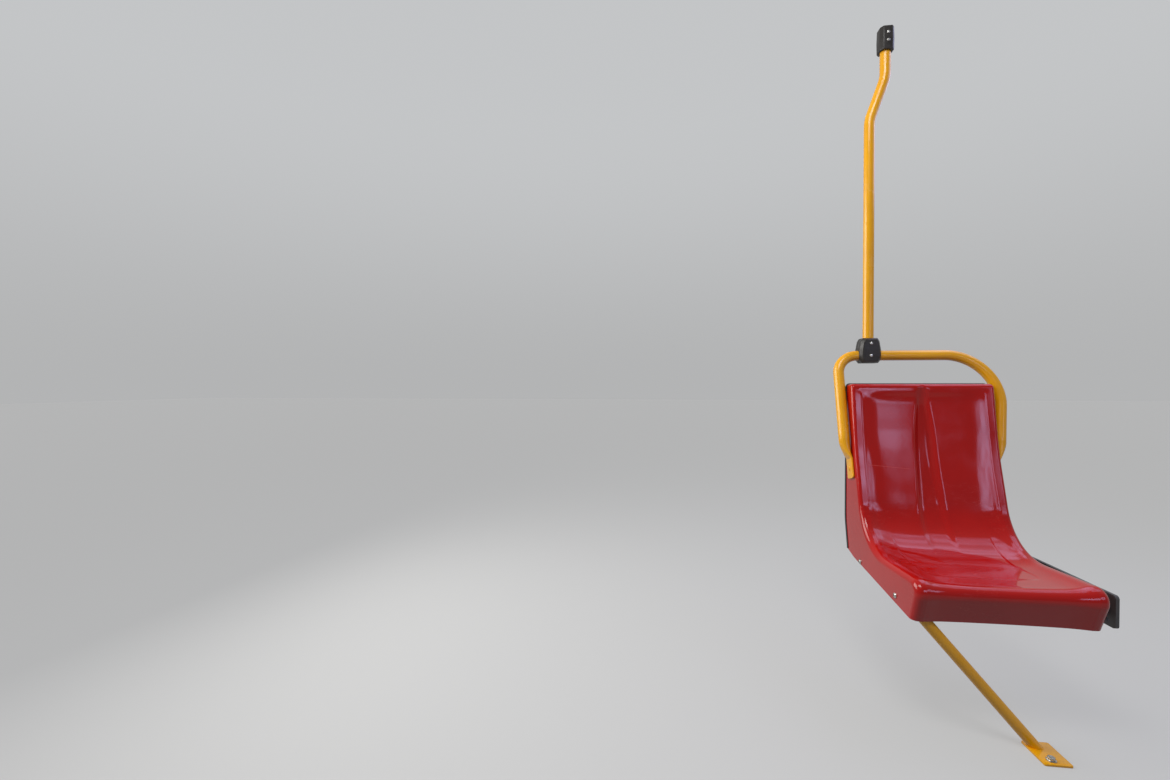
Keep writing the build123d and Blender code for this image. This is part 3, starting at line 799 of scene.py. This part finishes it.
def tubeByNodes(name, path, radius, sides):  # a round tube along a path of points
    mesh = bpy.data.meshes.new(name + "Path")
    mesh.from_pydata([tuple(p) for p in path], [(k, k + 1) for k in range(len(path) - 1)], [])
    inputs = {"Path": "Geometry", "Radius": "Float", "Sides": "Int", "Finish": "Material"}
    tree, source, result = nodeTree(name, inputs, "Tube")
    curve = addNode(tree, "GeometryNodeMeshToCurve", {"Mesh": source["Path"]})
    sizes = {"Resolution": source["Sides"], "Radius": source["Radius"]}
    ring = addNode(tree, "GeometryNodeCurvePrimitiveCircle", sizes, mode="RADIUS")
    curves = {"Curve": curve["Curve"], "Profile Curve": ring["Curve"], "Fill Caps": True}
    skin = addNode(tree, "GeometryNodeCurveToMesh", curves)
    realAndPainted(tree, skin["Mesh"], source["Finish"], result)
    return appliedTree(linked(name, mesh), tree, {"Radius": radius, "Sides": sides, "Finish": yellowMaterial})


def buildPole():
    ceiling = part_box("ceiling_socket")[1].z
    jogFoot = ceiling - pole["straight"] - pole["jog"]
    corners = [
        (poleX, poleLow.z, 0.0),
        (poleX, jogFoot, pole["bendRound"]),
        (poleX + pole["offset"], jogFoot + pole["jog"], pole["bendRound"]),
        (poleX + pole["offset"], poleHigh.z, 0.0),
    ]
    points = roundedPath(corners, pole["step"], pole["turnStep"])[0]
    path = [(x, poleY, z) for x, z in points]
    piece = tubeByNodes("stanchionTube", path, poleRadius, pole["sides"])
    outwardFaces(piece)
    finishPiece(piece, yellowMaterial, "tube_yellow", tubeAngle, "stanchion")


buildPole()


def bevelled(piece, width, segments=3, angle=25):
    bevel = piece.modifiers.new("bevel", "BEVEL")
    bevel.width = width
    bevel.segments = segments
    bevel.limit_method = "ANGLE"
    bevel.angle_limit = math.radians(angle)
    return applied(piece)


def cutBy(piece, cutters):
    for cutter in cutters:
        cut = piece.modifiers.new("cut", "BOOLEAN")
        cut.operation = "DIFFERENCE"
        cut.solver = "EXACT"
        cut.object = cutter
    piece = applied(piece)
    for cutter in cutters:
        bpy.data.objects.remove(cutter)
    return piece


def rodCutter(centre, way, radius, length, sides=48):  # a rod about its centre, along a unit way
    first = way.orthogonal().normalized()
    second = way.cross(first)
    rings = []
    for end in (-0.5, 0.5):
        middle = centre + way * (length * end)
        ring = [(radius * math.cos(a), radius * math.sin(a)) for a in turns(sides)]
        rings.append([middle + first * c + second * s for c, s in ring])
    return ringsToObject("cutter", rings)


# Clamp: two barrel-shaped halves round the loop's bar and the stanchion's foot
print("clamp")
clamp = {
    "faceShare": 0.76, "faceDrop": 0.011, "soft": 0.0016, "fit": 0.0002, "cutLength": 0.2,
    "outline": [(0.66, 1.0), (0.84, 0.74), (0.97, 0.12), (1.0, -0.38), (0.92, -0.78), (0.72, -1.0)],
}
barPlace = loopPlace(0, loopHeight(loop["barHeight"]))
along, up = Vector((1, 0, 0)), Vector((0, 0, 1))


def buildClampHalf(node, name, way):
    low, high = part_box(node)
    middleX, middleZ = (low.x + high.x) / 2, (low.z + high.z) / 2
    halfX, halfZ = (high.x - low.x) / 2, (high.z - low.z) / 2
    near, far = (high.y, low.y) if way < 0 else (low.y, high.y)
    right = clamp["outline"]
    whole = right + [(-x, z) for x, z in reversed(right)]
    rings = []
    for y, share in ((near, 1.0), (far - way * clamp["faceDrop"], 1.0), (far, clamp["faceShare"])):
        tall = [middleZ + z * halfZ * (share + 1) / 2 for _, z in whole]
        rings.append([(middleX + x * halfX * share, y, z) for (x, _), z in zip(whole, tall)])
    piece = bevelled(ringsToObject(name, rings), clamp["soft"])
    barMiddle = Vector((middleX, barPlace.y, barPlace.z))
    postMiddle = Vector((poleX, poleY, poleLow.z + clamp["cutLength"] / 2))
    bar = rodCutter(barMiddle, along, loop["radius"] + clamp["fit"], clamp["cutLength"])
    post = rodCutter(postMiddle, up, poleRadius + clamp["fit"], clamp["cutLength"])
    piece = cutBy(piece, [bar, post])
    finishPiece(piece, blackMaterial, "clamp_black", blockAngle, node)


buildClampHalf("clamp_front", "clampFrontHalf", -1)
buildClampHalf("clamp_rear", "clampRearHalf", 1)


# Socket at the ceiling, with a blind bore for the stanchion
print("socket")
socket = {"footShare": 0.97, "headShare": 0.95, "side": 0.55, "end": 0.62, "soft": 0.0022, "floor": 0.008}


def buildSocket():
    low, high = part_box("ceiling_socket")
    middle = (low + high) / 2
    half = (high - low) / 2
    s, e = socket["side"], socket["end"]
    outline = [(-1, -s), (-e, -1), (e, -1), (1, -s), (1, s), (e, 1), (-e, 1), (-1, s)]
    rings = []
    for z, share in ((low.z, socket["footShare"]), (middle.z, 1.0), (high.z, socket["headShare"])):
        rings.append([(middle.x + x * half.x * share, middle.y + y * half.y * share, z) for x, y in outline])
    piece = bevelled(ringsToObject("ceilingSocketBlock", rings), socket["soft"])
    foot, deep = Vector((middle.x, middle.y, low.z)), high.z - low.z - socket["floor"]
    piece = cutBy(piece, [rodCutter(foot, up, poleRadius + clamp["fit"], 2 * deep)])
    finishPiece(piece, blackMaterial, "clamp_black", blockAngle, "ceiling_socket")


buildSocket()


# Strut, its foot plate and the frame
print("strut and frame")
strut = {"sides": 40, "spare": 0.04, "cells": 12}
footPlate = {"corner": 0.004, "arcCells": 4, "soft": 0.0006, "bore": (0.0055, 0.04, 40)}


def trimmedFlat(piece, place, way):  # cuts away what lies beyond a plane and closes the end
    bm = bmesh.new()
    bm.from_mesh(piece.data)
    everything = bm.verts[:] + bm.edges[:] + bm.faces[:]
    cut = bmesh.ops.bisect_plane(bm, geom=everything, plane_co=place, plane_no=way, clear_outer=True)
    bmesh.ops.edgenet_fill(bm, edges=[e for e in cut["geom_cut"] if isinstance(e, bmesh.types.BMEdge)])
    bm.to_mesh(piece.data)
    bm.free()


def buildStrut():
    low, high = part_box("strut")
    radius = (high.y - low.y) / 2
    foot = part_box("foot_plate")[1].z
    lean = math.atan2(high.z - low.z, high.x - low.x - 2 * radius)
    middle = (low.y + high.y) / 2
    a = Vector((high.x - radius / math.sin(lean), middle, foot))
    b = Vector((low.x, middle, high.z - radius / math.cos(lean)))
    way = (b - a).normalized()
    start, whole = a - way * strut["spare"], b - a + way * (2 * strut["spare"])
    path = [start + whole * (k / strut["cells"]) for k in range(strut["cells"] + 1)]
    piece = tubeByNodes("floorStrutTube", path, radius, strut["sides"])
    trimmedFlat(piece, up * foot, -up)
    trimmedFlat(piece, along * low.x, -along)
    outwardFaces(piece)
    finishPiece(piece, yellowMaterial, "tube_yellow", tubeAngle, "strut")


buildStrut()


def buildFootPlate():
    low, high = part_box("foot_plate")
    r, points = footPlate["corner"], []
    for sx, sy, quarter in ((1, 1, 0), (-1, 1, 1), (-1, -1, 2), (1, -1, 3)):
        cx = (low.x + high.x) / 2 + sx * ((high.x - low.x) / 2 - r)
        cy = (low.y + high.y) / 2 + sy * ((high.y - low.y) / 2 - r)
        points += cornerArc(cx, cy, r, quarter, footPlate["arcCells"])
    rings = [[(x, y, z) for x, y in points] for z in (low.z, high.z)]
    piece = bevelled(ringsToObject("footPlate", rings), footPlate["soft"], segments=2, angle=60)
    radius, length, sides = footPlate["bore"]
    piece = cutBy(piece, [rodCutter(up * (high.z / 2), up, radius, length, sides)])
    finishPiece(piece, yellowMaterial, "tube_yellow", blockAngle, "foot_plate")


buildFootPlate()

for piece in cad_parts.values():  # the solids that nothing replaces
    if not piece.hide_render:
        for slot in piece.material_slots:
            slot.material = frameMaterial


# Screws and bolts: one head for each kind, placed by Geometry Nodes
print("screws")
screws = {
    "skirtHead": {"radius": 0.0072, "rise": 0.0040, "rim": 0.0010, "key": 0.0023, "keyDepth": 0.0024},
    "clampHead": {"radius": 0.0048, "rise": 0.0026, "rim": 0.0006, "key": 0.0016, "keyDepth": 0.0018},
    "loopHead": {"radius": 0.0075, "rise": 0.0022, "rim": 0.0005, "key": 0.0021, "keyDepth": 0.0016},
    "sides": 48, "sink": 0.0004, "domeCells": 8, "crownCell": 6,
    "skirtPlaces": [(0.133, 0.037), (0.377, 0.028)],  # depth, height over the skirt's foot
    "clampRises": (0.040, -0.001), "socketRises": (0.054, 0.028),
    "washerRadius": 0.0105, "washerThick": 0.0016,
    "hexRows": [(0.0085, 0.0), (0.0085, 0.0058), (0.0076, 0.0066)],  # radius, height
}


def ringAt(z, reaches):  # one ring about the z axis, from its reach at each turn
    return [(r * math.cos(a), r * math.sin(a), z) for r, a in zip(reaches, turns(len(reaches)))]


def headMesh(name, rows, sides, key=0.0, keyDepth=0.0):  # a turned head; key is a hexagon socket's half width
    rings = [ringAt(z, [radius] * sides) for radius, z in rows]
    if key:
        top, sixth = rows[-1][1], math.pi / 3
        reaches = [key / math.cos((a + sixth / 2) % sixth - sixth / 2) for a in turns(sides)]
        rings += [ringAt(top, reaches), ringAt(top - keyDepth, reaches)]
    head = ringsToObject(name, rings)
    shadeSmooth(head, tubeAngle)
    return head


def domedHead(name):
    head = screws[name]
    rows = [(head["radius"], -screws["sink"]), (head["radius"], head["rim"])]
    for k in range(1, screws["crownCell"] + 1):  # the dome stops at its flat crown
        a = quarterTurn * k / screws["domeCells"]
        rows.append((head["radius"] * math.cos(a), head["rim"] + head["rise"] * math.sin(a)))
    return headMesh(name, rows, screws["sides"], head["key"], head["keyDepth"])


def placeHeads(name, head, places, seed, material=zincMaterial, slotName=None):
    mesh = bpy.data.meshes.new(name + "Places")
    mesh.from_pydata([tuple(p) for p, _ in places], [], [])
    facing = mesh.attributes.new("facing", "FLOAT_VECTOR", "POINT")
    for i, (_, way) in enumerate(places):
        facing.data[i].vector = way
    inputs = {"Geometry": "Geometry", "Head": "Object", "Size": "Float", "Seed": "Int", "Finish": "Material"}
    tree, source, result = nodeTree(name, inputs, "Geometry")
    info = addNode(tree, "GeometryNodeObjectInfo", {"Object": source["Head"]})
    ways = addNode(tree, "GeometryNodeInputNamedAttribute", {"Name": "facing"}, data_type="FLOAT_VECTOR")
    align = addNode(tree, "FunctionNodeAlignRotationToVector", {"Vector": ways["Attribute"]}, axis="Z")
    limits = {3: math.pi / 3, "Seed": source["Seed"]}  # a hexagon repeats after a sixth of a turn
    spin = addNode(tree, "FunctionNodeRandomValue", limits, data_type="FLOAT")
    turn = addNode(tree, "ShaderNodeCombineXYZ", {"Z": spin[1]})
    copies = addNode(tree, "GeometryNodeInstanceOnPoints", {
        "Points": source["Geometry"], "Instance": info["Geometry"],
        "Rotation": align["Rotation"], "Scale": source["Size"],
    })
    turned = {"Instances": copies["Instances"], "Rotation": turn["Vector"]}
    heads = addNode(tree, "GeometryNodeRotateInstances", turned)
    realAndPainted(tree, heads["Instances"], source["Finish"], result)
    values = {"Head": head, "Size": 1.0, "Seed": seed, "Finish": material}
    finishPiece(appliedTree(linked(name, mesh), tree, values), material, slotName, None)
    bpy.data.objects.remove(head)


skirtBolts = []
for depth, rise in screws["skirtPlaces"]:
    for side in (-1, 1):
        place = seatPoint(side * shellHalf, depth, shell["skirtFootHeight"] + rise)
        skirtBolts.append((place, Vector((side, 0, 0))))
placeHeads("skirtBolts", domedHead("skirtHead"), skirtBolts, 3)


def frontScrews(node, start, rises):  # screws in the front face of a block
    low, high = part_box(node)
    return [(Vector(((low.x + high.x) / 2, low.y, start + rise)), Vector((0, -1, 0))) for rise in rises]


clampScrews = frontScrews("clamp_front", loop["barHeight"], screws["clampRises"])
clampScrews += frontScrews("ceiling_socket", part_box("ceiling_socket")[0].z, screws["socketRises"])
placeHeads("clampScrews", domedHead("clampHead"), clampScrews, 5)

loopBolts = []
for side in (-1, 1):
    place = loopPlace(side * (flatX + loop["flatThick"] / 2), 0.0) + flatShift
    loopBolts.append((place, Vector((side, 0, 0))))
placeHeads("loopBolts", domedHead("loopHead"), loopBolts, 7, yellowMaterial, "tube_yellow")

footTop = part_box("foot_plate")[1].z
washerRows = [(screws["washerRadius"], height) for height in (-screws["sink"], screws["washerThick"])]
washer = headMesh("washer", washerRows, screws["sides"])
placeHeads("footWasher", washer, [(up * footTop, up)], 11)
hexHead = headMesh("hexHead", screws["hexRows"], 6)
placeHeads("footBolt", hexHead, [(up * (footTop + screws["washerThick"]), up)], 13)


# Floor, light and camera
print("stage")
stage = {
    "floorSize": 30, "floorRough": 0.8, "horizonRise": 0.45, "dimBehind": (-0.7, 0.2),
    "floor": srgb(118, 118, 117), "floorUnseen": srgb(92, 92, 92), "floorGlow": 0.35,
    "horizon": (0.452, 0.456, 0.46, 1.0), "pale": (0.55, 0.56, 0.57, 1.0), "dim": (0.24, 0.245, 0.255, 1.0),
    "fill": (0.45, 0.46, 0.475, 1.0), "fillBehind": (0.25, 0.255, 0.265, 1.0),
    "patchNoise": (3.2, 2.0), "patchEdges": (0.36, 0.6), "patchLevels": (0.45, 1.5),
}


def seenRays(tree):  # camera, glossy and transmission rays
    rays = tree.nodes.new("ShaderNodeLightPath").outputs
    shiny = mathNode(tree, "MAXIMUM", rays["Is Glossy Ray"], rays["Is Transmission Ray"])
    return mathNode(tree, "MAXIMUM", rays["Is Camera Ray"], shiny)


def buildFloor():
    size = stage["floorSize"]
    corners = [(-size, -size, 0), (size, -size, 0), (size, size, 0), (-size, size, 0)]
    floor = makeObject("studioFloor", corners, [(0, 1, 2, 3)])
    material, tree, shader, _ = newMaterial("studioFloorPaint")
    seen = seenRays(tree)
    link(tree, mixColours(tree, seen, stage["floorUnseen"], stage["floor"]), shader["Base Color"])
    shader["Roughness"].default_value = stage["floorRough"]
    shader["Emission Color"].default_value = (1, 1, 1, 1)
    link(tree, times(tree, seen, stage["floorGlow"]), shader["Emission Strength"])
    floor.data.materials.append(material)


def buildWorld():
    world = bpy.data.worlds.new("studio")
    bpy.context.scene.world = world
    world.use_nodes = True
    tree = world.node_tree
    split = splitNode(tree, tree.nodes.new("ShaderNodeTexCoord").outputs["Generated"])
    rise = rampNode(tree, split["Z"], 0.0, stage["horizonRise"])
    backdrop = mixColours(tree, rise, stage["horizon"], stage["pale"])
    behind = rampNode(tree, split["Y"], *stage["dimBehind"], 1.0, 0.0)  # 1 behind the camera
    room = mixColours(tree, behind, backdrop, stage["dim"])
    fill = mixColours(tree, behind, stage["fill"], stage["fillBehind"])
    link(tree, mixColours(tree, seenRays(tree), fill, room), tree.nodes["Background"].inputs["Color"])


def addLamp(name, place, target, width, height, power, colour, softEdge):
    data = bpy.data.lights.new(name, "AREA")
    data.shape = "RECTANGLE"
    data.size, data.size_y = width, height
    data.energy = power
    data.color = colour
    if softEdge:  # fades to its edges, so that its reflection has no hard outline
        data.use_nodes = True
        tree = data.node_tree
        spot = tree.nodes.new("ShaderNodeNewGeometry").outputs["Parametric"]
        edges = []
        for side in splitNode(tree, spot)[:2]:
            inner = mathNode(tree, "MINIMUM", side, mathNode(tree, "SUBTRACT", 1.0, side))
            edges.append(rampNode(tree, inner, 0.0, softEdge))
        patches = noiseNode(tree, spot, *stage["patchNoise"])
        patchy = rampNode(tree, patches, *stage["patchEdges"], *stage["patchLevels"])
        link(tree, times(tree, times(tree, *edges), patchy), tree.nodes["Emission"].inputs["Strength"])
    lamp = linked(name, data)
    lamp.location = place
    lamp.visible_camera = False
    lamp.rotation_euler = (Vector(target) - Vector(place)).to_track_quat("-Z", "Y").to_euler()


buildFloor()
buildWorld()
seatCentre = seatPoint(0, 0.2, 0.65)
seatBack = seatPoint(0, 0.1, 0.75)
coolLight, warmLight = (0.60, 0.62, 1.0), (1.0, 0.98, 0.95)
lamps = [  # name, place, target, width, height, power, colour and the softness of the edge
    ("windowRightNear", (0.73, -2.04, 1.36), seatBack, 0.58, 0.52, 4.2, coolLight, 0.10),
    ("windowRightFar", (1.74, -1.76, 1.58), seatBack, 0.62, 0.80, 6.0, coolLight, 0.22),
    ("windowHigh", (0.76, 0.66, 2.16), seatPoint(0, 0.25, 0.43), 1.66, 1.12, 12.5, coolLight, 0.11),
    ("windowLeft", (-2.3, 0.5, 1.5), seatCentre, 1.6, 1.3, 38, warmLight, 0.0),
    ("ceilingPanel", (-0.9, -1.1, 2.9), seatCentre, 1.3, 0.9, 34, (1.0, 1.0, 1.0), 0.0),
]
for lamp in lamps:
    addLamp(*lamp)

camera = {
    "eye": (-0.936, -1.384, 0.90), "yaw": -7.5, "pitch": -0.66,  # metres and degrees
    "focal": 530.0, "imageWidth": 1170, "sensor": 36,  # pixels, pixels, millimetres
}
cameraData = bpy.data.cameras.new("photoCamera")
cameraData.sensor_width = camera["sensor"]
cameraData.lens = camera["focal"] / camera["imageWidth"] * camera["sensor"]
photoCamera = linked("photoCamera", cameraData)
photoCamera.location = camera["eye"]
photoCamera.rotation_euler = (math.radians(90 + camera["pitch"]), 0, math.radians(-camera["yaw"]))
bpy.context.scene.camera = photoCamera
bpy.context.scene.view_settings.view_transform = "Standard"
